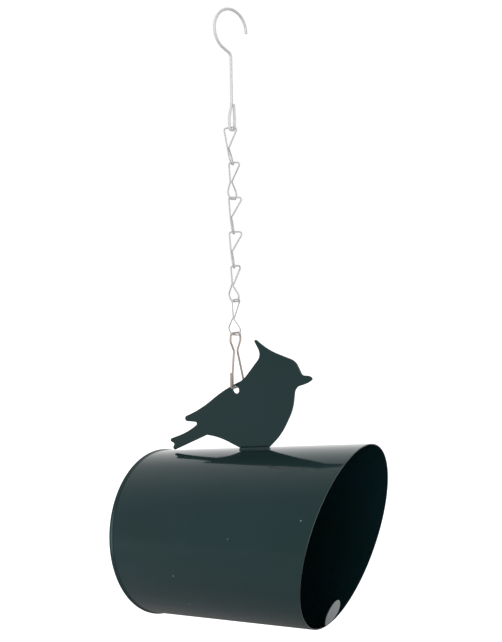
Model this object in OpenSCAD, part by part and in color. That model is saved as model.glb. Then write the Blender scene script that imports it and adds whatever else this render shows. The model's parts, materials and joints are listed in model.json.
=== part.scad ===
// Hanging bird feeder for a jar of peanut butter.
// A sheet steel tube with a slanted mouth lies under a flat bird, and a wire clip in the bird's
// hole joins it to a chain of six wire links and a hook.
// The hook's saddle, where it rests on a twig or nail, is the origin. Z is up and the mouth faces +X.

/* [Tube] */
// Outside diameter of the tube
tube_d = 100; // [85:1:130]
// Length along the top, from the back to the overhanging lip
tube_top_len = 149; // [125:0.5:190]
// Length along the bottom
tube_bottom_len = 112.5; // [80:0.5:122]
// Thickness of the tube's sheet
sheet_t = 0.6; // [0.5:0.05:1]

/* [Stop tab] */
// Radius of the round tab that is bent up into the mouth
tab_r = 8.4; // [6:0.1:12]
// Height of the round's centre above the lip, measured in the mouth's plane
tab_rise = 5.2; // [3:0.1:10]
// Distance of the tab behind the mouth's plane
tab_back = 0.7; // [0:0.1:3]
// Width of the tab where it leaves the lip
tab_neck = 12; // [8:0.5:14]

/* [Back cap] */
// Thickness of the cap's sheet
cap_t = 0.4; // [0.3:0.05:0.8]
// Depth at which the cap's disc lies inside the tube's end
cap_inset = 3; // [2:0.5:8]
// Length of the seam that is rolled over the tube's outside
seam_len = 2.8; // [2:0.1:5]
// Height of the seam over the tube's outside
seam_proud = 0.8; // [0.5:0.05:1.4]
// Play between the tube's end and the seam that holds it
seam_play = 0.03; // [0.02:0.01:0.08]

/* [Bird] */
// Length of the bird from tail to beak
bird_len = 107.3; // [80:0.1:125]
// Thickness of the bird's plate
bird_t = 1.2; // [0.8:0.1:2.5]
// Distance of the middle of the bird's foot from the tube's back
bird_x = 78.4; // [65:0.2:90]
// Diameter of the hole for the clip
bird_hole_d = 4.5; // [3.5:0.1:6]
// Side of the weld along the foot
weld = 1; // [0.5:0.1:1.5]
// Joint line between the foot and the tube
weld_line = 0.02; // [0.01:0.01:0.05]

/* [Clip] */
// Wire of the clip
clip_wire = 1.3; // [1:0.1:1.8]
// Height of the clip from its bar to its head, between wire centres
clip_h = 32.2; // [28:0.2:45]
// Reach of the bar on the near side of the bird
clip_near = 4.3; // [4:0.1:7]
// Reach of the bar on the far side of the bird
clip_far = 7.2; // [4:0.1:9]
// Direction of the bar, as an angle from the mouth's direction
clip_turn = 80; // [70:1:110]
// Width of the head
clip_head_w = 8.4; // [7:0.1:11]
// Height of the head above the waist
clip_head_h = 10.5; // [9:0.1:13]
// Width of the waist between wire centres
clip_waist = 2.8; // [2.4:0.1:3.6]
// Height of the end that is turned up beside the near leg
clip_end = 9; // [6:0.5:12]

/* [Chain] */
// Wire of the links
link_wire = 0.9; // [0.7:0.05:1.2]
// Distance from one link to the next
link_pitch = 19.5; // [17:0.1:25]
// Reach of a link's upper loop from the plumb line on the side of its spine, to the bent corner
link_spine = 2.6; // [2.2:0.1:4]
// Reach of the upper loop on its open side, to the bent corner
link_open = 5.6; // [4.5:0.1:7]
// Width of a link's lower loop between its bent corners
link_bottom_w = 8.8; // [7.5:0.1:11]
// Height of the upper loop above the waist
link_top_h = 10.7; // [9:0.1:13]
// Distance of the waist from the plumb line
link_waist = 1.8; // [0:0.1:2.5]
// Bend radius of the loops' corners
link_bend = 1.4; // [1:0.05:1.6]

/* [Hook] */
// Wire of the hook
hook_wire = 1.5; // [1.3:0.1:2]
// Clear width of the hook's bowl
bowl_d = 21.2; // [14:0.2:30]
// Length from the saddle to the inside of the eye's lower end
hook_len = 64.2; // [55:0.1:90]
// Length of the eye between wire centres
eye_len = 14.4; // [12:0.2:18]
// Widest part of the eye between wire centres
eye_w = 3.8; // [3.6:0.1:7]
// Width of the eye's lower end between wire centres
eye_foot_w = 3.6; // [3.4:0.1:6]
// Length of the hook's tip past the middle of the bowl
tip_len = 0.4; // [0:0.2:6]
// Direction of the hook's plane, as an angle from the mouth's direction
hook_turn = 74; // [60:1:120]

/* [Fits] */
// Play between two wires that hang in each other
wire_play = 0.15; // [0.1:0.05:0.3]
// Gap between two runs of wire that lie side by side
wire_beside = 0.06; // [0.04:0.01:0.12]
// Angle at which the mouth end hangs above level
hang_tilt = 9.5; // [0:0.1:15]

/* [Hidden] */
$fn = 48;
// Sides of a bent wire, the largest angle between its rings and its size inside the true round
wire_sides = 10;
wire_step = 16;
wire_inset = 0.985;
// Largest angle between the points of a rounded corner, and the least distance between two points
corner_step = 9;
same_point = 0.001;
// Radius of the cap's folds, as a share of its sheet, and of the seam's roll, as a share of the largest
fold_share = 0.7;
roll_share = 0.9;

enamel = "#2d3c3b";
galvanised = "#b9bcbd";
nickel = "#a39a94";

tube_r = tube_d / 2;
tube_bore_r = tube_r - sheet_t;
mouth_lean = atan((tube_top_len - tube_bottom_len) / tube_d);

// Turn of each link's upper loop about the plumb line, and its lean to its spine, as the chain hangs
link_turns = [24, 0, 29, 30, 77, 88];
link_leans = [6, 0, 0, 0, 0, 0];
link_count = len(link_turns);
// Depth of a link's lower bar below its upper bar
link_drop = link_pitch + link_wire + wire_play;
link_pair = link_wire + wire_beside;
link_1_z = -hook_len + link_wire / 2 + wire_play;
link_last_z = link_1_z - (link_count - 1) * link_pitch;

clip_head_z = link_last_z - link_drop + (link_wire + clip_wire) / 2 + wire_play;
clip_bar_z = clip_head_z - clip_h;
clip_pair = clip_wire + wire_beside;

// The bird is drawn round the middle of its foot, for a bird that is drawn_len long
drawn_len = 107.3;
bird_scale = bird_len / drawn_len;
drawn_foot = 10.5;
drawn_hole = [-6.5, 35.6];
// Corners of the bird from the back of its foot round by the tail, with the radius of each
drawn_bird = [
    [-drawn_foot, 0, 0], [-drawn_foot, 1.4, 0.8], [-23.8, 8.1, 50], [-32.8, 9.7, 0.8],
    [-62.6, 0.2, 1.3], [-59, 5.3, 0.8], [-64, 7.8, 1.2], [-46.9, 12.1, 57], [-37.1, 17.6, 1],
    [-54.3, 19.7, 1.7], [-34.8, 25.5, 95], [-14.2, 36.8, 105], [-0.3, 41.1, 15.9],
    [14.8, 54.3, 5.7], [9.7, 66.5, 0.9], [18.7, 57.2, 42], [36.7, 49, 7.3],
    [39.5, 40.7, 1.9], [43.9, 40.1, 4.6], [46.4, 38.2, 1.1], [42.5, 36, 16.5],
    [35.6, 34.6, 3.3], [33.4, 32.5, 4.4], [30.2, 21.7, 30], [20.1, 8, 45],
    [drawn_foot, 0.9, 0.3], [drawn_foot, 0, 0]
];
bird_hole = drawn_hole * bird_scale;
foot_z = tube_r + weld_line;
// The clip's bar lies at the top of the bird's hole, on the plumb line
plumb = [sin(hang_tilt), cos(hang_tilt)];
bar_in_hole = (bird_hole_d - clip_wire) / 2 - wire_play;
bar_x = bird_x + bird_hole.x + bar_in_hole * plumb.x;
bar_z = foot_z + bird_hole.y + bar_in_hole * plumb.y;

function unit(v) = v / norm(v);

function turned(a, b) = let (d = b - a) d > 180 ? d - 360 : d < -180 ? d + 360 : d;

// Points of the arc that rounds the corner b between a and c
function corner(a, b, c, r) =
    let (u = unit(a - b),
         w = unit(c - b),
         half = acos(u * w) / 2,
         middle = b + unit(u + w) * r / sin(half),
         s = b + u * r / tan(half) - middle,
         e = b + w * r / tan(half) - middle,
         first = atan2(s.y, s.x),
         sweep = turned(first, atan2(e.y, e.x)),
         steps = ceil(abs(sweep) / corner_step) + 1)
    [for (i = [0:steps]) middle + r * [cos(first + sweep * i / steps), sin(first + sweep * i / steps)]];

function flat(v) = [v.x, v.y];

function rounded(outline) =
    let (n = len(outline))
    [for (i = [0:n - 1])
        let (b = outline[i])
        each b.z == 0 ? [flat(b)]
                      : corner(flat(outline[(i + n - 1) % n]), flat(b), flat(outline[(i + 1) % n]), b.z)];

// Length that a bend takes from the straight runs on both sides of its corner
function bend_reach(a, b, c, r) = r * tan(acos(unit(b - a) * unit(c - b)) / 2);

// Points of a wire's middle line round the corner b between a and c
function bend_line(a, b, c, r) =
    let (u = unit(b - a),
         w = unit(c - b),
         turn = acos(u * w),
         out = -unit(w - u * (u * w)),
         middle = b - u * bend_reach(a, b, c, r) - out * r,
         steps = ceil(turn / wire_step))
    [for (i = [0:steps]) middle + r * (out * cos(turn * i / steps) + u * sin(turn * i / steps))];

// A wire's middle line, with no point twice
function wire_line(points, radii) =
    let (last = len(points) - 1,
         line = [points[0],
                 for (i = [1:last - 1]) each bend_line(points[i - 1], points[i], points[i + 1], radii[i - 1]),
                 points[last]])
    [for (i = [0:len(line) - 1]) if (i == 0 || norm(line[i] - line[max(i - 1, 0)]) > same_point) line[i]];

function square_to(v, t) = unit(v - t * (v * t));

// Straight round wire from one point to another
module rod(from, to, d) {
    run = to - from;
    translate(from)
        rotate([0, acos(run.z / norm(run)), atan2(run.y, run.x)])
            cylinder(d = d, h = norm(run));
}

// Wire along a row of points, with a bend radius for each point between its ends.
// The straight runs that start at the points in bars are true round bars, for what hangs on them.
// No wire's first run lies along Y.
module bent_wire(points, radii, d, bars) {
    line = wire_line(points, radii);
    last = len(line) - 1;
    runs = [for (i = [0:last - 1]) unit(line[i + 1] - line[i])];
    along = [for (i = [0:last]) unit(runs[max(i - 1, 0)] + runs[min(i, last - 1)])];
    across = [for (i = 0, n = square_to([0, 1, 0], along[0]); i <= last;
                   i = i + 1, n = square_to(n, along[min(i, last)])) n];
    ring_r = d / 2 * wire_inset;
    rings = [for (i = [0:last], k = [0:wire_sides - 1])
        let (a = 360 * k / wire_sides)
        line[i] + ring_r * (across[i] * cos(a) + cross(along[i], across[i]) * sin(a))];
    sides = [for (i = [0:last - 1], k = [0:wire_sides - 1])
        let (p = i * wire_sides + k,
             q = i * wire_sides + (k + 1) % wire_sides)
        each [[p, p + wire_sides, q], [q, p + wire_sides, q + wire_sides]]];
    ends = [[for (k = [0:wire_sides - 1]) k],
            [for (k = [wire_sides - 1:-1:0]) last * wire_sides + k]];
    polyhedron(rings, concat(sides, ends));
    for (i = bars) {
        run = unit(points[i + 1] - points[i]);
        rod(points[i] + run * bend_reach(points[i - 1], points[i], points[i + 1], radii[i - 1]),
            points[i + 1] - run * bend_reach(points[i], points[i + 1], points[i + 2], radii[i]), d);
    }
}

// Round bowl over an S-bend, a straight shank and a long eye, all in one plane
module hook() {
    r = (bowl_d + hook_wire) / 2;
    middle = -bowl_d / 2;
    slant = 62;
    neck_bend = 3;
    eye_bend = 6;
    foot_run = 1;
    foot_bend = (eye_foot_w - foot_run) / 2;
    eye_foot = -hook_len - hook_wire / 2;
    eye_top = eye_foot + eye_len;
    eye_mid = eye_foot + eye_len / 2;
    beside = hook_wire + wire_beside;
    color(galvanised)
        rotate(hook_turn)
            bent_wire([
                [r, 0, middle - tip_len],
                [r, 0, middle + r],
                [-r, 0, middle + r],
                [-r, 0, middle - r * tan(slant / 2)],
                [0, 0, middle - r * (sin(slant) + tan(90 - slant) * cos(slant))],
                [0, 0, eye_top],
                [-eye_w / 2, 0, eye_mid],
                [-eye_foot_w / 2, 0, eye_foot],
                [eye_foot_w / 2, 0, eye_foot],
                [eye_w / 2, 0, eye_mid],
                [beside, 0, eye_top]
            ], [r, r, r, neck_bend, eye_bend, eye_bend, foot_bend, foot_bend, eye_bend], hook_wire, [7]);
}

// One wire bent to two loops at right angles. Its spine runs through the waist, and both its ends butt
// there: the last one lies in the notch between the other two runs.
module link_shape() {
    waist_bend = 2;
    foot = link_bottom_w / 2;
    bent_wire([
        [link_pair - link_waist, 0, -link_top_h],
        [link_open, 0, 0],
        [-link_spine, 0, 0],
        [-link_waist, 0, -link_top_h],
        [0, -foot, -link_drop],
        [0, foot, -link_drop],
        [link_pair / 2 - link_waist, link_pair * sin(60), -link_top_h]
    ], [link_bend, link_bend, waist_bend, link_bend, link_bend], link_wire, [1, 4]);
}

module chain_link(i) {
    color(galvanised)
        translate([0, 0, link_1_z - (i - 1) * link_pitch - link_drop])
            rotate([0, -link_leans[i - 1], link_turns[i - 1]])
                translate([0, 0, link_drop])
                    link_shape();
}

module chain_link_1() { chain_link(1); }
module chain_link_2() { chain_link(2); }
module chain_link_3() { chain_link(3); }
module chain_link_4() { chain_link(4); }
module chain_link_5() { chain_link(5); }
module chain_link_6() { chain_link(6); }

// Spring clip across the bird: bar, far leg, head and near leg, closed by the turned-up end
module wire_clip() {
    waist = clip_waist / 2;
    waist_z = clip_h - clip_head_h;
    shoulder = clip_head_w / 2;
    shoulder_drop = 4.7;
    crown_in = 0.3;
    crown = shoulder - crown_in;
    end_over = 0.9;
    bar_bend = 1.6;
    waist_bend = 3;
    head_bend = 2.4;
    color(nickel)
        translate([0, 0, clip_bar_z])
            rotate(clip_turn)
                bent_wire([
                    [-clip_near, 0, clip_end],
                    [-clip_near, 0, 0],
                    [clip_far, 0, 0],
                    [waist, 0, waist_z],
                    [shoulder, 0, clip_h - shoulder_drop],
                    [crown, 0, clip_h],
                    [-crown, 0, clip_h],
                    [-shoulder, 0, clip_h - shoulder_drop],
                    [-waist, 0, waist_z],
                    [clip_pair - clip_near, 0, clip_end - end_over],
                    [clip_pair - clip_near, 0, clip_pair]
                ], [bar_bend, bar_bend, waist_bend, head_bend, head_bend, head_bend, head_bend, waist_bend,
                    waist_bend], clip_wire, [1, 5]);
}

// Places what is drawn along the tube, from its back, where it hangs under the clip
module hung() {
    translate([0, 0, clip_bar_z])
        rotate([0, -hang_tilt, 0])
            translate([-bar_x, 0, -bar_z])
                children();
}

// Flat bird that stands on the tube along its top, with a weld on both sides of its foot
module bird_plate() {
    foot = drawn_foot * bird_scale;
    side = bird_t / 2;
    color(enamel)
        hung()
            translate([bird_x, 0, foot_z]) {
                rotate([90, 0, 0])
                    linear_extrude(height = bird_t, center = true)
                        difference() {
                            polygon(rounded(drawn_bird) * bird_scale);
                            translate(bird_hole)
                                circle(d = bird_hole_d);
                        }
                rotate([90, 0, 90])
                    linear_extrude(height = 2 * foot, center = true)
                        polygon([[-side - weld, 0], [side + weld, 0], [side, weld], [-side, weld]]);
            }
}

// Everything behind the mouth's slanted plane
module behind_mouth() {
    middle = (tube_top_len + tube_bottom_len) / 2;
    slope = (tube_top_len - tube_bottom_len) / 2;
    rotate([90, 0, 0])
        linear_extrude(height = 2 * tube_d, center = true)
            polygon([[0, -tube_d], [middle - 2 * slope, -tube_d], [middle + 2 * slope, tube_d], [0, tube_d]]);
}

// Rolled tube with the round tab that keeps the jar from sliding out
module tube_body() {
    start = cap_t + seam_play;
    color(enamel)
        hung() {
            difference() {
                intersection() {
                    translate([start, 0, 0])
                        rotate([0, 90, 0])
                            cylinder(r = tube_r, h = tube_top_len - start, $fn = 96);
                    behind_mouth();
                }
                rotate([0, 90, 0])
                    cylinder(r = tube_bore_r, h = tube_top_len + 1, $fn = 96);
            }
            intersection() {
                translate([tube_bottom_len, 0, -tube_r])
                    rotate([0, mouth_lean, 0])
                        translate([-sheet_t - tab_back, 0, 0])
                            rotate([90, 0, 90])
                                linear_extrude(height = sheet_t) {
                                    translate([0, tab_rise])
                                        circle(r = tab_r);
                                    translate([-tab_neck / 2, 0])
                                        square([tab_neck, tab_rise]);
                                }
                rotate([0, 90, 0])
                    cylinder(r = tube_r, h = tube_top_len, $fn = 96);
            }
        }
}

// Disc that closes the back, with its edge rolled round the tube's end
module back_cap() {
    wall_r = tube_bore_r - seam_play;
    seam_r = tube_r + seam_proud;
    fold = cap_t * fold_share;
    roll = min(seam_proud - seam_play, seam_len / 2) * roll_share;
    color(enamel)
        hung()
            rotate([0, 90, 0])
                rotate_extrude($fn = 96)
                    polygon(rounded([
                        [0, cap_inset, 0], [wall_r - cap_t, cap_inset, fold], [wall_r - cap_t, 0, fold],
                        [seam_r, 0, roll], [seam_r, seam_len, roll], [tube_r + seam_play, seam_len, 0],
                        [tube_r + seam_play, cap_t, 0], [wall_r, cap_t, 0],
                        [wall_r, cap_inset + cap_t, fold], [0, cap_inset + cap_t, 0]
                    ]));
}

hook();
chain_link_1();
chain_link_2();
chain_link_3();
chain_link_4();
chain_link_5();
chain_link_6();
wire_clip();
bird_plate();
tube_body();
back_cap();
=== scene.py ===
import json
from math import atan2, ceil, cos, pi, radians, sin, sqrt, tan

import bmesh
import bpy
from mathutils import Matrix, Vector


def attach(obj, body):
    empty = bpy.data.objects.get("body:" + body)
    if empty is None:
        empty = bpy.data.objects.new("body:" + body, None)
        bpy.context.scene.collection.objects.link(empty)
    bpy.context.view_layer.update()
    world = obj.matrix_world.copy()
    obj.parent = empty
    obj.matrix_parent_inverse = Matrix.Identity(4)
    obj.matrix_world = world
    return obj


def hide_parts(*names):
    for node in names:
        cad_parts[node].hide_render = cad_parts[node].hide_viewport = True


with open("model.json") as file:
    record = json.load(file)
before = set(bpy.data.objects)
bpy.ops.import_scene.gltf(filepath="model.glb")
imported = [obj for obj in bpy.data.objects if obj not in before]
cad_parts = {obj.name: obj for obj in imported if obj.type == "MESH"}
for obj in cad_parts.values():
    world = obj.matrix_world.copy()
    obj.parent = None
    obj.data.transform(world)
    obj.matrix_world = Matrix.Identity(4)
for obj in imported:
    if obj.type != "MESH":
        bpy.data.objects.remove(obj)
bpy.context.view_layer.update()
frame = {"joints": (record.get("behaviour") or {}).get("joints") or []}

# Tube: 0.6 mm steel sheet rolled to a cylinder and cut on a slant, so that its top shelters the jar.
# A rounded tab is left on the lower lip and bent up into the mouth, where it keeps the jar in.
# It is enamelled all over, inside too.
MM = 0.001
TOUCH = 0.001 * MM
TUBE_R, SHEET, TUBE_START = 50 * MM, 0.6 * MM, 0.43 * MM
TOP_LEN, BOTTOM_LEN = 149 * MM, 112.5 * MM
TAB_W, TAB_H, TAB_RISE = 20 * MM, 14.2 * MM, 5.9 * MM
TAB_ASIDE, TAB_TWIST = 0.6 * MM, radians(3.7)
TUBE_SIDES, TAB_SIDES, EDGE_ROUND = 240, 96, 0.25 * MM
# An edge that climbs less than this runs along the rim of the sheet, and not across its thickness
ALONG_RIM = SHEET / 9

lean = atan2(TOP_LEN - BOTTOM_LEN, 2 * TUBE_R)
lip = Vector((BOTTOM_LEN, 0, -TUBE_R))
mouth_out = Vector((cos(lean), 0, -sin(lean)))
mouth_up = Vector((sin(lean), 0, cos(lean)))


def pick_edges(test):
    """Selects those edges of the piece in edit mode whose two ends pass the test."""
    bpy.ops.mesh.select_mode(type="EDGE")
    bpy.ops.mesh.select_all(action="DESELECT")
    mesh = bmesh.from_edit_mesh(bpy.context.object.data)
    for edge in mesh.edges:
        edge.select_set(test(edge.verts[0].co, edge.verts[1].co))
    bmesh.update_edit_mesh(bpy.context.object.data)


def at_mouth(point):
    """Whether a point lies in the slanted plane of the mouth."""
    return abs((point - lip).dot(mouth_out)) < TOUCH


def from_axis(point):
    """How far a point is from the tube's axis."""
    return sqrt(point.y ** 2 + point.z ** 2)


def make_outward():
    """Turns every face of the piece in edit mode outwards."""
    bpy.ops.mesh.select_all(action="SELECT")
    bpy.ops.mesh.normals_make_consistent(inside=False)


def round_edges(width, segments=3):
    """Rounds the edges that are selected."""
    bpy.ops.mesh.bevel(offset=width, segments=segments, profile=0.5, affect="EDGES", clamp_overlap=False)


def draw_rings(name, rings, end_faces):
    """A round wall about the tube's axis, extruded from ring to ring, each at its distance x and radius."""
    (x, r), *others = rings
    bpy.ops.object.select_all(action="DESELECT")
    bpy.ops.mesh.primitive_circle_add(vertices=TUBE_SIDES, radius=r, location=(x, 0, 0),
                                      rotation=(0, pi / 2, 0))
    bpy.context.object.name = name
    bpy.ops.object.transform_apply()
    bpy.ops.object.mode_set(mode="EDIT")
    bpy.ops.mesh.select_mode(type="EDGE")
    if end_faces:
        bpy.ops.mesh.edge_face_add()
    for next_x, next_r in others:
        bpy.ops.mesh.extrude_edges_move(TRANSFORM_OT_translate={"value": (next_x - x, 0, 0)})
        bpy.ops.transform.resize(value=(1, next_r / r, next_r / r), center_override=(next_x, 0, 0))
        x, r = next_x, next_r
    if end_faces:
        bpy.ops.mesh.edge_face_add()
    bpy.ops.mesh.select_all(action="SELECT")
    bpy.ops.mesh.remove_doubles(threshold=TOUCH)
    make_outward()
    return bpy.context.object


tube = draw_rings("tube", [(TUBE_START, TUBE_R), (TOP_LEN, TUBE_R), (TOP_LEN, TUBE_R - SHEET),
                           (TUBE_START, TUBE_R - SHEET), (TUBE_START, TUBE_R)], end_faces=False)
bpy.ops.object.mode_set(mode="OBJECT")
for vertex in tube.data.vertices:
    if vertex.co.x > BOTTOM_LEN:
        vertex.co.x = BOTTOM_LEN + (vertex.co.z + TUBE_R) * tan(lean)
bpy.ops.object.mode_set(mode="EDIT")
pick_edges(lambda a, b: at_mouth(a) and at_mouth(b) and abs(from_axis(a) - from_axis(b)) < ALONG_RIM)
round_edges(EDGE_ROUND)
bpy.ops.object.mode_set(mode="OBJECT")

# The tab starts as a disc one unit across and is stretched to its size
bpy.ops.object.select_all(action="DESELECT")
bpy.ops.mesh.primitive_circle_add(vertices=TAB_SIDES, radius=0.5, fill_type="NGON")
tab = bpy.context.object
bpy.ops.object.mode_set(mode="EDIT")
bpy.ops.transform.resize(value=(TAB_H, TAB_W, 1), center_override=(0, 0, 0))
bpy.ops.mesh.extrude_region_move(TRANSFORM_OT_translate={"value": (0, 0, -SHEET)})
bpy.ops.object.mode_set(mode="OBJECT")
tab_at = lip + mouth_up * TAB_RISE + Vector((0, -TAB_ASIDE, 0))
tab.matrix_world = (Matrix.Translation(tab_at) @ Matrix.Rotation(pi / 2 + lean, 4, "Y")
                    @ Matrix.Rotation(-TAB_TWIST, 4, "X"))
bpy.ops.object.transform_apply()
# Its foot follows the round of the tube, where the sheet is folded up
for vertex in tab.data.vertices:
    if from_axis(vertex.co) > TUBE_R - EDGE_ROUND:
        foot_z = -sqrt((TUBE_R - EDGE_ROUND) ** 2 - vertex.co.y ** 2)
        vertex.co += mouth_up * (foot_z - vertex.co.z) / cos(lean)
bpy.ops.object.mode_set(mode="EDIT")
make_outward()
pick_edges(lambda a, b: abs((a - b).dot(mouth_out)) < ALONG_RIM)
round_edges(EDGE_ROUND)
bpy.ops.object.mode_set(mode="OBJECT")
tube.select_set(True)
bpy.context.view_layer.objects.active = tube
bpy.ops.object.join()

# The feeder hangs by the bird's hole, with its mouth a little up and the clip's bar under the hole's top
HANG_TILT, SMOOTH_ANGLE = radians(9.5), radians(35)
BIRD_X, FOOT_Z = 78.4 * MM, 50.02 * MM
HOLE_X, HOLE_Z, BAR_UP = -6.5 * MM, 35.6 * MM, 1.45 * MM
bar_at = Vector(next(joint["pos_m"] for joint in frame["joints"] if joint["name"] == "clip_to_bird"))
bar_in_hole = Vector((BIRD_X + HOLE_X + BAR_UP * sin(HANG_TILT), 0,
                      FOOT_Z + HOLE_Z + BAR_UP * cos(HANG_TILT)))
hang = (Matrix.Translation(bar_at) @ Matrix.Rotation(-HANG_TILT, 4, "Y")
        @ Matrix.Translation(-bar_in_hole))


def put(piece, place):
    """Moves a piece to its place, which goes into its mesh, and smooths its round faces."""
    bpy.ops.object.select_all(action="DESELECT")
    piece.select_set(True)
    bpy.context.view_layer.objects.active = piece
    piece.matrix_world = place @ piece.matrix_world
    bpy.ops.object.transform_apply()
    bpy.ops.object.shade_smooth_by_angle(angle=SMOOTH_ANGLE)


def hang_on_clip(piece):
    """Puts a piece that was made along the level tube where it hangs, and keeps its large faces even."""
    put(piece, hang)
    bpy.ops.object.modifier_add(type="WEIGHTED_NORMAL")
    bpy.ops.object.modifier_apply(modifier=piece.modifiers[-1].name)


hang_on_clip(tube)


def linear(hex_colour):
    """A colour that is written as sRGB hex, in the linear values that the shaders use."""
    parts = [int(hex_colour[i:i + 2], 16) / 255 for i in (1, 3, 5)]
    return [c / 12.92 if c <= 0.04045 else ((c + 0.055) / 1.055) ** 2.4 for c in parts] + [1.0]


def start_nodes(owner):
    """Gives a new material or world an empty set of nodes."""
    owner.use_nodes = True
    owner.node_tree.nodes.clear()
    return owner


def add_node(owner, kind, inputs, **settings):
    """Adds a node to a material or world: inputs are numbers, colours or sockets to link from."""
    tree = owner.node_tree
    node = tree.nodes.new(kind)
    for name, value in settings.items():
        setattr(node, name, value)
    for name, value in inputs.items():
        if isinstance(value, bpy.types.NodeSocket):
            tree.links.new(value, node.inputs[name])
        else:
            node.inputs[name].default_value = value
    return node


# Stoved enamel on steel, sprayed: a deep green that looks almost black, with a high gloss that it tints.
# The spray leaves a faint orange peel, the green drifts to blue in patches, and some dust lies in it.
ENAMEL_GREEN, ENAMEL_BLUE, DUST = "#0d2322", "#0f2529", "#98a3a0"
ENAMEL_IOR, GLOSS_TINT = 1.5, (0.5, 1, 1, 1)
LEAST_ROUGHNESS, MOST_ROUGHNESS, COAT_ROUGHNESS = 0.09, 0.15, 0.08
PATCH, PATCH_DETAIL, PATCH_ROUGHNESS, DRIFT_START, DRIFT_END = 32 * MM, 6.0, 0.55, 0.35, 0.65
DUST_SPACING, DUST_R = 15 * MM, 0.5 * MM
PEEL, PEEL_DEPTH, PEEL_STRENGTH = 2.2 * MM, 0.05 * MM, 0.06
enamel = start_nodes(bpy.data.materials.new("green_stoved_enamel"))
place = add_node(enamel, "ShaderNodeTexCoord", {}).outputs["Object"]
patches = add_node(enamel, "ShaderNodeTexNoise", {
    "Vector": place, "Scale": 1 / PATCH, "Detail": PATCH_DETAIL, "Roughness": PATCH_ROUGHNESS})
drift = add_node(enamel, "ShaderNodeMapRange", {"Value": patches.outputs[0], "From Min": DRIFT_START,
                                                "From Max": DRIFT_END})
green = add_node(enamel, "ShaderNodeMix", {0: drift.outputs[0], 6: linear(ENAMEL_GREEN),
                                           7: linear(ENAMEL_BLUE)}, data_type="RGBA")
grains = add_node(enamel, "ShaderNodeTexVoronoi", {"Vector": place, "Scale": 1 / DUST_SPACING})
grain = add_node(enamel, "ShaderNodeMapRange", {"Value": grains.outputs["Distance"],
                                                "From Min": DUST_R / DUST_SPACING, "From Max": 0.0})
dusty = add_node(enamel, "ShaderNodeMix", {0: grain.outputs[0], 6: green.outputs[2], 7: linear(DUST)},
                 data_type="RGBA")
gloss = add_node(enamel, "ShaderNodeMapRange", {"Value": patches.outputs[0], "To Min": LEAST_ROUGHNESS,
                                                "To Max": MOST_ROUGHNESS})
peel = add_node(enamel, "ShaderNodeTexNoise", {"Vector": place, "Scale": 1 / PEEL})
ripple = add_node(enamel, "ShaderNodeBump", {"Height": peel.outputs[0], "Strength": PEEL_STRENGTH,
                                             "Distance": PEEL_DEPTH})
finish = add_node(enamel, "ShaderNodeBsdfPrincipled", {
    "Base Color": dusty.outputs[2], "Roughness": gloss.outputs[0], "Normal": ripple.outputs[0],
    "Specular Tint": GLOSS_TINT, "IOR": ENAMEL_IOR, "Coat Weight": 1.0, "Coat Roughness": COAT_ROUGHNESS,
    "Coat IOR": ENAMEL_IOR})
add_node(enamel, "ShaderNodeOutputMaterial", {"Surface": finish.outputs[0]})

tube.data.materials.append(enamel)
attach(tube, "feeder")
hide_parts("tube_body")

# Back cap: a disc of thin steel pressed into the tube's end, with its edge rolled round the outside
# as a seam. It is enamelled together with the tube.
CAP_T, CAP_INSET, SEAM_LEN, SEAM_PROUD, SEAM_PLAY = 0.4 * MM, 3 * MM, 2.8 * MM, 0.8 * MM, 0.03 * MM
CREST, FOLD, ROLL_STEPS = 0.8 * MM, 0.5 * MM, 8
wall_r = TUBE_R - SHEET - SEAM_PLAY
recess_r = wall_r - CAP_T
crest_r = TUBE_R + SEAM_PROUD
share = [i / ROLL_STEPS for i in range(ROLL_STEPS + 1)]
foot_fold = [(CAP_INSET - FOLD * (1 - cos(t * pi / 2)),
              recess_r - FOLD * (1 - sin(t * pi / 2))) for t in share]
rim_fold = [(FOLD * (1 - sin(t * pi / 2)), recess_r + FOLD * (1 - cos(t * pi / 2))) for t in share]
roll_back = [(CREST * (1 - sin(t * pi / 2)), crest_r - CREST * (1 - cos(t * pi / 2))) for t in share[::-1]]
roll_down = [(CREST + (SEAM_LEN - CREST) * t,
              TUBE_R + SEAM_PLAY + (SEAM_PROUD - SEAM_PLAY) * (1 + cos(t * pi)) / 2) for t in share[1:]]
cap = draw_rings("back_cap_disc", foot_fold + rim_fold + roll_back + roll_down + [
    (CAP_T, TUBE_R + SEAM_PLAY), (CAP_T, wall_r), (CAP_INSET + CAP_T, wall_r)], end_faces=True)
bpy.ops.object.mode_set(mode="OBJECT")
hang_on_clip(cap)
cap.data.materials.append(enamel)
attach(cap, "feeder")
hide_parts("back_cap")

# Bird: a flat crested bird cut from 1.2 mm sheet steel, with a hole for the clip.
# It stands on its foot along the top of the tube and is enamelled with it, so all its edges are rounded.
BIRD_T, HOLE_R, PLATE_ROUND = 1.2 * MM, 2.25 * MM, 0.22 * MM
CURVE_STEPS, ROUND_STEPS = 8, 2
STRAIGHT_HANDLE, SAME_POINT = MM / 9, 0.002 * MM
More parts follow.
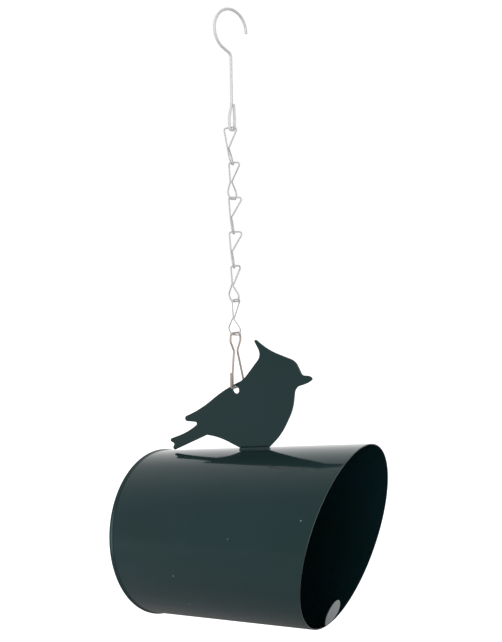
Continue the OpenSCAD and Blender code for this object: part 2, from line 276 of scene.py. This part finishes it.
# Corners in mm from the back of the foot round by the tail, with the radius of each.
# The last four are a low notch in the foot, over the weld.
bird_corners = [
    (-10.2, 1.25, 0), (-23.8, 8.1, 50), (-32.8, 9.7, 0.8),
    (-62.6, 0.2, 1.3), (-59, 5.3, 0.8), (-64, 7.8, 1.2), (-46.9, 12.1, 57), (-37.1, 17.6, 1),
    (-54.3, 19.7, 1.7), (-34.8, 25.5, 95), (-14.2, 36.8, 105), (-0.3, 41.1, 15.9),
    (14.8, 54.3, 5.7), (9.7, 66.5, 0.9), (18.7, 57.2, 42), (36.7, 49, 7.3),
    (39.5, 40.7, 1.9), (43.9, 40.1, 4.6), (46.4, 38.2, 1.1), (42.5, 36, 16.5),
    (35.6, 34.6, 3.3), (33.4, 32.5, 4.4), (30.2, 21.7, 30), (20.1, 8, 45), (11, 1.25, 0),
    (10, 1.25, 0), (10, 1.85, 0), (-9.1, 1.85, 0), (-9.1, 1.25, 0)]
outline = []
for i, (x, z, r) in enumerate(bird_corners):
    corner = Vector((x, z, 0)) * MM
    back = Vector((*bird_corners[i - 1][:2], 0)) * MM - corner
    on = Vector((*bird_corners[(i + 1) % len(bird_corners)][:2], 0)) * MM - corner
    half = back.angle(on) / 2
    reach = r * MM / tan(half)
    # The length of the handles with which a Bezier curve follows an arc of this radius
    pull = 4 / 3 * tan((pi / 2 - half) / 2) * r * MM
    back.normalize()
    on.normalize()
    outline.append((corner + back * reach, corner + back * (reach + STRAIGHT_HANDLE),
                    corner + back * (reach - pull)))
    if r:
        outline.append((corner + on * reach, corner + on * (reach - pull),
                        corner + on * (reach + STRAIGHT_HANDLE)))
bpy.ops.object.select_all(action="DESELECT")
bpy.ops.curve.primitive_bezier_circle_add(radius=HOLE_R, location=(0, 0, 0))
bird = bpy.context.object
bird.name = "bird"
bird_curve = bird.data
for point in bird_curve.splines[0].bezier_points:
    for part in ("co", "handle_left", "handle_right"):
        setattr(point, part, getattr(point, part) + Vector((HOLE_X, HOLE_Z, 0)))
edge = bird_curve.splines.new("BEZIER")
edge.use_cyclic_u = True
edge.bezier_points.add(len(outline) - 1)
for point, (middle, before, after) in zip(edge.bezier_points, outline):
    point.handle_left_type = point.handle_right_type = "FREE"
    point.co, point.handle_left, point.handle_right = middle, before, after
bird_curve.dimensions = "2D"
bird_curve.fill_mode = "BOTH"
bird_curve.resolution_u = CURVE_STEPS
bird_curve.extrude = BIRD_T / 2 - PLATE_ROUND
bird_curve.bevel_depth = PLATE_ROUND
bird_curve.bevel_resolution = ROUND_STEPS
bird_curve.offset = -PLATE_ROUND
bpy.ops.object.convert(target="MESH")
bird = bpy.context.object
bird.matrix_world = Matrix.Translation((BIRD_X, 0, FOOT_Z)) @ Matrix.Rotation(pi / 2, 4, "X")
bpy.ops.object.transform_apply()
bpy.ops.object.mode_set(mode="EDIT")
bpy.ops.mesh.select_all(action="SELECT")
bpy.ops.mesh.remove_doubles(threshold=SAME_POINT)
make_outward()
bpy.ops.object.mode_set(mode="OBJECT")
hang_on_clip(bird)
bird.data.materials.append(enamel)
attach(bird, "feeder")
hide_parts("bird_plate")

# Weld: a low bead along the foot, under the enamel, that joins the bird to the tube.
# It is narrow at its top, so a groove shows as a dark line between the bead and the plate.
WELD_LEN, WELD_SIDES = 21 * MM, 32
WELD_BODY_R, WELD_BODY_UP = 1.5 * MM, -0.1 * MM
WELD_NECK_R, WELD_NECK_UP = 0.32 * MM, 1.62 * MM
beads = []
for radius, up in ((WELD_BODY_R, WELD_BODY_UP), (WELD_NECK_R, WELD_NECK_UP)):
    bpy.ops.object.select_all(action="DESELECT")
    bpy.ops.mesh.primitive_cylinder_add(vertices=WELD_SIDES, radius=radius, depth=WELD_LEN,
                                        rotation=(0, pi / 2, 0), location=(BIRD_X, 0, TUBE_R + up))
    bpy.ops.object.transform_apply()
    bpy.ops.object.mode_set(mode="EDIT")
    pick_edges(lambda a, b: abs(a.x - b.x) < TOUCH)
    round_edges(radius / 2)
    bpy.ops.object.mode_set(mode="OBJECT")
    beads.append(bpy.context.object)
beads[0].select_set(True)
bpy.ops.object.join()
weld = bpy.context.object
weld.name = "weld"
hang_on_clip(weld)
weld.data.materials.append(enamel)
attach(weld, "feeder")

# Clip: nickel-plated spring wire bent to a bottle shape, with its lower bar through the bird's hole.
# One end is turned up beside the other leg to close it. All sizes of wires are in mm.
CLIP_WIRE, WIRE_GAP, CLIP_TURN = 1.3, 0.06, radians(80)
CLIP_NEAR, CLIP_FAR, CLIP_END_Z = -4.3, 7.2, 9
CLIP_LEG = CLIP_NEAR + CLIP_WIRE + WIRE_GAP
CLIP_LEG_END_Z, CLIP_LEG_BEND_Z = CLIP_WIRE + WIRE_GAP, 8.1
CLIP_NECK, CLIP_NECK_Z = 1.4, 21.7
CLIP_SHOULDER, CLIP_SHOULDER_Z = 4.2, 27.5
CLIP_HEAD, CLIP_HEAD_Z = 3.9, 32.2
CLIP_FOOT_BEND, CLIP_NECK_BEND, CLIP_HEAD_BEND = 1.6, 3, 2.4
WIRE_SIDES, BEND_STEP, END_ROUND, END_STEPS = 16, radians(7), 0.14, 2


def bend_wire(name, corners, radii, thickness):
    """A length of round wire in mm, bent round a former at each corner between its two ends."""
    corners = [Vector(c) * MM for c in corners]
    first, last = (corners[1] - corners[0]).normalized(), (corners[-1] - corners[-2]).normalized()
    bpy.ops.object.select_all(action="DESELECT")
    bpy.ops.mesh.primitive_circle_add(
        vertices=WIRE_SIDES, radius=thickness * MM / 2, fill_type="NGON", location=corners[0],
        rotation=first.to_track_quat("Z", "Y").to_euler())
    wire = bpy.context.object
    wire.name = name
    bpy.ops.object.transform_apply()
    bpy.ops.object.mode_set(mode="EDIT")
    reached = corners[0]
    for corner, before, after, radius in zip(corners[1:], corners, corners[2:], radii):
        way_in, way_out = (corner - before).normalized(), (after - corner).normalized()
        turn = way_in.angle(way_out)
        run = radius * MM * tan(turn / 2)
        axis = way_in.cross(way_out).normalized()
        start = corner - way_in * run
        if (start - reached).length > TOUCH:
            bpy.ops.mesh.extrude_region_move(TRANSFORM_OT_translate={"value": start - reached})
        bpy.ops.mesh.spin(steps=ceil(turn / BEND_STEP), angle=-turn, axis=axis,
                          center=start + axis.cross(way_in) * radius * MM)
        reached = corner + way_out * run
    bpy.ops.mesh.extrude_region_move(TRANSFORM_OT_translate={"value": corners[-1] - reached})
    make_outward()

    def at_end(point):
        """Whether a point lies on one of the wire's two end faces."""
        return any(abs((point - end).dot(way)) < TOUCH and (point - end).length < thickness * MM
                   for end, way in ((corners[0], first), (corners[-1], last)))

    pick_edges(lambda a, b: at_end(a) and at_end(b))
    round_edges(END_ROUND * MM, END_STEPS)
    bpy.ops.object.mode_set(mode="OBJECT")
    return wire


clip = bend_wire("clip", [
    (CLIP_NEAR, 0, CLIP_END_Z), (CLIP_NEAR, 0, 0), (CLIP_FAR, 0, 0), (CLIP_NECK, 0, CLIP_NECK_Z),
    (CLIP_SHOULDER, 0, CLIP_SHOULDER_Z), (CLIP_HEAD, 0, CLIP_HEAD_Z), (-CLIP_HEAD, 0, CLIP_HEAD_Z),
    (-CLIP_SHOULDER, 0, CLIP_SHOULDER_Z), (-CLIP_NECK, 0, CLIP_NECK_Z), (CLIP_LEG, 0, CLIP_LEG_BEND_Z),
    (CLIP_LEG, 0, CLIP_LEG_END_Z)],
    [CLIP_FOOT_BEND] * 2 + [CLIP_NECK_BEND] + [CLIP_HEAD_BEND] * 4 + [CLIP_NECK_BEND] * 2, CLIP_WIRE)
put(clip, Matrix.Translation(bar_at) @ Matrix.Rotation(CLIP_TURN, 4, "Z"))


def plate_wire(name, clean, dull, patch, clean_metal, dull_metal, roughness):
    """The finish of plated wire: its metal is bare in some patches and has a dull film in others."""
    plating = start_nodes(bpy.data.materials.new(name))
    place = add_node(plating, "ShaderNodeTexCoord", {}).outputs["Object"]
    film = add_node(plating, "ShaderNodeTexNoise", {"Vector": place, "Scale": 1 / patch})
    tint = add_node(plating, "ShaderNodeMix", {0: film.outputs[0], 6: linear(clean), 7: linear(dull)},
                    data_type="RGBA")
    bare = add_node(plating, "ShaderNodeMapRange", {"Value": film.outputs[0], "To Min": clean_metal,
                                                    "To Max": dull_metal})
    finish = add_node(plating, "ShaderNodeBsdfPrincipled", {
        "Base Color": tint.outputs[2], "Roughness": roughness, "Metallic": bare.outputs[0]})
    add_node(plating, "ShaderNodeOutputMaterial", {"Surface": finish.outputs[0]})
    return plating


# Nickel-plated spring wire: a warm, slightly pink grey, drawn smooth, and dulled in patches by a pale bloom
NICKEL, NICKEL_DULL, BLOOM = "#d2c5be", "#bcafa8", 9 * MM
NICKEL_BARE, NICKEL_COVERED, NICKEL_ROUGHNESS = 0.65, 0.4, 0.45
nickel = plate_wire("nickel_spring_wire", NICKEL, NICKEL_DULL, BLOOM, NICKEL_BARE, NICKEL_COVERED,
                    NICKEL_ROUGHNESS)
clip.data.materials.append(nickel)
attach(clip, "clip")
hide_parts("wire_clip")

# Chain: six links of galvanised wire, each bent to two loops at right angles, as a jack chain is.
# A link's two ends butt against its spine at the waist.
LINK_WIRE, LINK_PLAY, LINK_PITCH, LINK_1_Z = 0.9, 0.15, 19.5, -63.6
LINK_DROP, LINK_PAIR = LINK_PITCH + LINK_WIRE + LINK_PLAY, LINK_WIRE + WIRE_GAP
LINK_NEAR, LINK_FAR, LINK_SPINE, LINK_WAIST_Z = -2.6, 5.6, -1.8, -10.7
LOOP_W, LOOP_FOOT_W, LOOP_RISE, LOOP_SET_BACK = 8.8, 5.6, 3.8, 0.7
LINK_TOP_BEND, LINK_WAIST_BEND, LOOP_SIDE_BEND, LOOP_FOOT_BEND = 1.4, 2, 3, 1.8
# How far each link is turned about the plumb line, and leans, in degrees
LINK_TURNS, LINK_LEANS = [24, 0, 29, 30, 77, 88], [6, 0, 0, 0, 0, 0]

# Zinc-dipped wire: pale grey, a little mottled, bright where the zinc is bare and dull where it has frosted
ZINC, ZINC_FROST, SPANGLE = "#e1e1e2", "#d2d3d4", 9 * MM
ZINC_BARE, ZINC_COVERED, ZINC_ROUGHNESS = 0.6, 0.4, 0.5
zinc = plate_wire("galvanised_wire", ZINC, ZINC_FROST, SPANGLE, ZINC_BARE, ZINC_COVERED, ZINC_ROUGHNESS)

links = [bend_wire("link_1", [
    (LINK_SPINE + LINK_PAIR, 0, LINK_WAIST_Z), (LINK_FAR, 0, 0), (LINK_NEAR, 0, 0),
    (LINK_SPINE, 0, LINK_WAIST_Z), (-LOOP_SET_BACK, -LOOP_W / 2, LOOP_RISE - LINK_DROP),
    (0, -LOOP_FOOT_W / 2, -LINK_DROP), (0, LOOP_FOOT_W / 2, -LINK_DROP),
    (-LOOP_SET_BACK, LOOP_W / 2, LOOP_RISE - LINK_DROP),
    (LINK_SPINE + LINK_PAIR / 2, LINK_PAIR * sin(pi / 3), LINK_WAIST_Z)],
    [LINK_TOP_BEND, LINK_TOP_BEND, LINK_WAIST_BEND, LOOP_SIDE_BEND, LOOP_FOOT_BEND, LOOP_FOOT_BEND,
     LOOP_SIDE_BEND], LINK_WIRE)]
for i in range(2, len(LINK_TURNS) + 1):
    link = links[0].copy()
    link.data = links[0].data.copy()
    link.name = f"link_{i}"
    bpy.context.collection.objects.link(link)
    links.append(link)
for i, (link, turn, tip) in enumerate(zip(links, LINK_TURNS, LINK_LEANS)):
    put(link, Matrix.Translation((0, 0, (LINK_1_Z - i * LINK_PITCH - LINK_DROP) * MM))
        @ Matrix.Rotation(radians(turn), 4, "Z") @ Matrix.Rotation(radians(-tip), 4, "Y")
        @ Matrix.Translation((0, 0, LINK_DROP * MM)))
    link.data.materials.append(zinc)
    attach(link, f"link_{i + 1}")
    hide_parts(f"chain_link_{i + 1}")

# Hook: thicker zinc-plated wire, with a round bowl that goes over a twig or nail, an S-bend under it,
# a straight shank and a long eye, closed against the shank, that holds the chain.
HOOK_WIRE, HOOK_TURN = 1.5, radians(74)
BOWL_R, BOWL_Z, TIP_DROP, SLANT = 11.35, -10.6, 0.4, radians(62)
EYE_LEN, EYE_W, EYE_FOOT_W = 14.4, 3.8, 3.6
SHANK_BEND, EYE_SIDE_BEND, EYE_FOOT_BEND = 3, 6, 1.3
eye_foot = LINK_1_Z - LINK_PLAY - (LINK_WIRE + HOOK_WIRE) / 2
hook = bend_wire("hanging_hook", [
    (BOWL_R, 0, BOWL_Z - TIP_DROP), (BOWL_R, 0, BOWL_Z + BOWL_R), (-BOWL_R, 0, BOWL_Z + BOWL_R),
    (-BOWL_R, 0, BOWL_Z - BOWL_R * tan(SLANT / 2)),
    (0, 0, BOWL_Z - BOWL_R * (sin(SLANT) + cos(SLANT) / tan(SLANT))),
    (0, 0, eye_foot + EYE_LEN), (-EYE_W / 2, 0, eye_foot + EYE_LEN / 2), (-EYE_FOOT_W / 2, 0, eye_foot),
    (EYE_FOOT_W / 2, 0, eye_foot), (EYE_W / 2, 0, eye_foot + EYE_LEN / 2),
    (HOOK_WIRE + WIRE_GAP, 0, eye_foot + EYE_LEN)],
    [BOWL_R, BOWL_R, BOWL_R, SHANK_BEND, EYE_SIDE_BEND, EYE_SIDE_BEND, EYE_FOOT_BEND, EYE_FOOT_BEND,
     EYE_SIDE_BEND], HOOK_WIRE)
put(hook, Matrix.Rotation(HOOK_TURN, 4, "Z"))

# The hook's wire, coloured paler and more even than the dipped chain
PLATE, PLATE_DULL, CLOUD = "#eaeaeb", "#dddedf", 12 * MM
PLATE_BARE, PLATE_COVERED, PLATE_ROUGHNESS = 0.5, 0.35, 0.45
plate = plate_wire("pale_hook_wire", PLATE, PLATE_DULL, CLOUD, PLATE_BARE, PLATE_COVERED,
                   PLATE_ROUGHNESS)
hook.data.materials.append(plate)
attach(hook, "hook")
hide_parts("hook")

# Studio: white paper behind the feeder and a pale floor far below it, a dim room in front, a white card
# round the camera, and one large soft lamp in front of the tube, level with the top of the hook,
# so that little light falls into the mouth.
PAPER_SIDE = (0.1, 0.86, -0.5)
# Brightness of the room from its front, at -1, to its paper side, at 1
SURROUND = [(-1, 0.28), (-0.72, 0.28), (-0.4, 0.4), (-0.02, 0.46), (0.33, 0.67), (0.59, 0.8), (1, 1)]
CARD_SIDE, CARD_LEVEL = (0.56, -0.80, 0.2), 0.8
CARD_EDGE, CARD_CORE = cos(radians(42)), cos(radians(22))


def add_room(owner, way):
    """Brightness of the card in a direction, and of the whole room: dim in front, white paper behind."""
    facing = add_node(owner, "ShaderNodeVectorMath", {0: way, 1: CARD_SIDE}, operation="DOT_PRODUCT")
    card = add_node(owner, "ShaderNodeMapRange", {"Value": facing.outputs["Value"], "From Min": CARD_EDGE,
                                                  "From Max": CARD_CORE, "To Max": CARD_LEVEL},
                    interpolation_type="SMOOTHSTEP")
    behind = add_node(owner, "ShaderNodeVectorMath", {0: way, 1: PAPER_SIDE}, operation="DOT_PRODUCT")
    spread = add_node(owner, "ShaderNodeMapRange", {"Value": behind.outputs["Value"], "From Min": -1.0})
    tent = add_node(owner, "ShaderNodeValToRGB", {0: spread.outputs[0]})
    for side, _ in SURROUND[1:-1]:
        tent.color_ramp.elements.new((side + 1) / 2)
    for stop, (side, level) in zip(tent.color_ramp.elements, SURROUND):
        stop.position, stop.color = (side + 1) / 2, (level, level, level, 1)
    room = add_node(owner, "ShaderNodeMath", {0: tent.outputs[0], 1: card.outputs[0]}, operation="ADD")
    return card.outputs[0], room.outputs[0]


# In reflections the floor shows painted light and shade, not its own lit paper: as bright as the room in
# front and at the horizon, with a painted shadow under the feeder and painted light behind it.
# The camera sees white paper with the feeder's shadow.
WHITE = (1, 1, 1, 1)
FLOOR_Z, FLOOR_R, FLOOR_SIDES, PAPER, PAPER_LIFT = -0.95, 8, 64, "#d8d8d8", 0.8
# Where the painted shadow under the feeder and the painted light behind it lie on the floor, and their
# levels
TO_BACK, FRONT_AT, UNDER_AT, PAINTED_SHADOW_LEVEL = (0.45, 0.89, 0), -0.85, 0.3, 0.11
BACK_START, BACK_AT, PAINTED_LIGHT_LEVEL = 0.62, 1.1, 0.79
HORIZON_START, HORIZON_AT = 1.3, 4.5
bpy.ops.object.select_all(action="DESELECT")
bpy.ops.mesh.primitive_circle_add(vertices=FLOOR_SIDES, radius=FLOOR_R, fill_type="NGON",
                                  location=(0, 0, FLOOR_Z))
floor = bpy.context.object
floor.name = "floor"
bpy.ops.object.transform_apply()
paper = start_nodes(bpy.data.materials.new("white_paper_floor"))
rays = add_node(paper, "ShaderNodeLightPath", {})
spot = add_node(paper, "ShaderNodeTexCoord", {}).outputs["Object"]
depth = add_node(paper, "ShaderNodeVectorMath", {0: spot, 1: TO_BACK}, operation="DOT_PRODUCT")
# Painted shadow under the feeder, fading to the room's level in front, and painted light behind it
front = add_node(paper, "ShaderNodeMapRange", {
    "Value": depth.outputs["Value"], "From Min": FRONT_AT, "From Max": UNDER_AT, "To Min": SURROUND[0][1],
    "To Max": PAINTED_SHADOW_LEVEL})
back = add_node(paper, "ShaderNodeMapRange", {
    "Value": depth.outputs["Value"], "From Min": BACK_START, "From Max": BACK_AT, "To Max": PAINTED_LIGHT_LEVEL})
painted_shade_and_light = add_node(paper, "ShaderNodeMath", {0: front.outputs[0], 1: back.outputs[0]}, operation="MAXIMUM")
reach = add_node(paper, "ShaderNodeVectorMath", {0: spot}, operation="LENGTH")
far = add_node(paper, "ShaderNodeMapRange", {
    "Value": reach.outputs["Value"], "From Min": HORIZON_START, "From Max": HORIZON_AT},
    interpolation_type="SMOOTHSTEP")
way = add_node(paper, "ShaderNodeVectorMath", {0: spot}, operation="NORMALIZE").outputs["Vector"]
_, room = add_room(paper, way)
level = add_node(paper, "ShaderNodeMix", {0: far.outputs[0], 2: painted_shade_and_light.outputs[0], 3: room})
lit = add_node(paper, "ShaderNodeBsdfDiffuse", {"Color": linear(PAPER)})
lift = add_node(paper, "ShaderNodeEmission", {"Color": WHITE, "Strength": PAPER_LIFT})
white = add_node(paper, "ShaderNodeAddShader", {0: lit.outputs[0], 1: lift.outputs[0]})
# What the gloss sees of the floor: an emission at the painted level of light and shade
painted_floor_glow = add_node(paper, "ShaderNodeEmission", {"Color": WHITE, "Strength": level.outputs[0]})
unseen = add_node(paper, "ShaderNodeMixShader", {0: rays.outputs["Is Glossy Ray"], 1: lit.outputs[0],
                                                 2: painted_floor_glow.outputs[0]})
sheet = add_node(paper, "ShaderNodeMixShader", {0: rays.outputs["Is Camera Ray"], 1: unseen.outputs[0],
                                                2: white.outputs[0]})
add_node(paper, "ShaderNodeOutputMaterial", {"Surface": sheet.outputs[0]})
floor.data.materials.append(paper)

# The gloss mirrors the room and the card. What is matt gets a plain soft light from above, and the card's.
LEVEL_LIGHT, TOP_LIGHT = 0.3, 0.85
world = start_nodes(bpy.data.worlds.new("studio"))
bpy.context.scene.world = world
rays = add_node(world, "ShaderNodeLightPath", {})
way = add_node(world, "ShaderNodeTexCoord", {}).outputs["Generated"]
card, room = add_room(world, way)
height = add_node(world, "ShaderNodeSeparateXYZ", {0: way})
overhead = add_node(world, "ShaderNodeMapRange", {"Value": height.outputs["Z"], "To Min": LEVEL_LIGHT,
                                                  "To Max": TOP_LIGHT})
soft = add_node(world, "ShaderNodeMath", {0: overhead.outputs[0], 1: card}, operation="ADD")
fill = add_node(world, "ShaderNodeMix", {0: rays.outputs["Is Diffuse Ray"], 2: room, 3: soft.outputs[0]})
surround = add_node(world, "ShaderNodeMath", {0: fill.outputs[0], 1: rays.outputs["Is Camera Ray"]},
                    operation="MAXIMUM")
sky = add_node(world, "ShaderNodeBackground", {"Color": WHITE, "Strength": surround.outputs[0]})
add_node(world, "ShaderNodeOutputWorld", {"Surface": sky.outputs[0]})

LAMP_AT, LAMP_AIM = Vector((-0.05, -1.05, 0)), Vector((0, 0, -0.25))
LAMP_SIDE, LAMP_POWER = 0.8, 7
bpy.ops.object.light_add(type="AREA", location=LAMP_AT)
lamp = bpy.context.object
lamp.rotation_euler = (LAMP_AIM - LAMP_AT).to_track_quat("-Z", "Y").to_euler()
lamp.data.shape = "SQUARE"
lamp.data.size = LAMP_SIDE
lamp.data.energy = LAMP_POWER
lamp.visible_glossy = False

# Camera: level with the chain, in front of the mouth's near side and looking a little down.
# Its place, turns and focal length were fitted to the outlines of the tube's two ends.
CAMERA_AT = (0.269947, -0.39519, -0.11583)
CAMERA_TURN, CAMERA_DOWN, CAMERA_ROLL = radians(33.2388), radians(6.8895), radians(-0.8066)
FOCAL_PIXELS, LONG_SIDE_PIXELS, SENSOR, CLOSEST = 831.08, 642, 36, 0.01
bpy.ops.object.camera_add(location=CAMERA_AT)
camera = bpy.context.object
camera_way = (Matrix.Rotation(CAMERA_TURN, 3, "Z") @ Matrix.Rotation(pi / 2 - CAMERA_DOWN, 3, "X")
              @ Matrix.Rotation(CAMERA_ROLL, 3, "Z"))
camera.rotation_euler = camera_way.to_euler()
camera.data.sensor_width = SENSOR
camera.data.lens = SENSOR * FOCAL_PIXELS / LONG_SIDE_PIXELS
camera.data.clip_start = CLOSEST
bpy.context.scene.camera = camera
bpy.context.scene.view_settings.view_transform = "Standard"
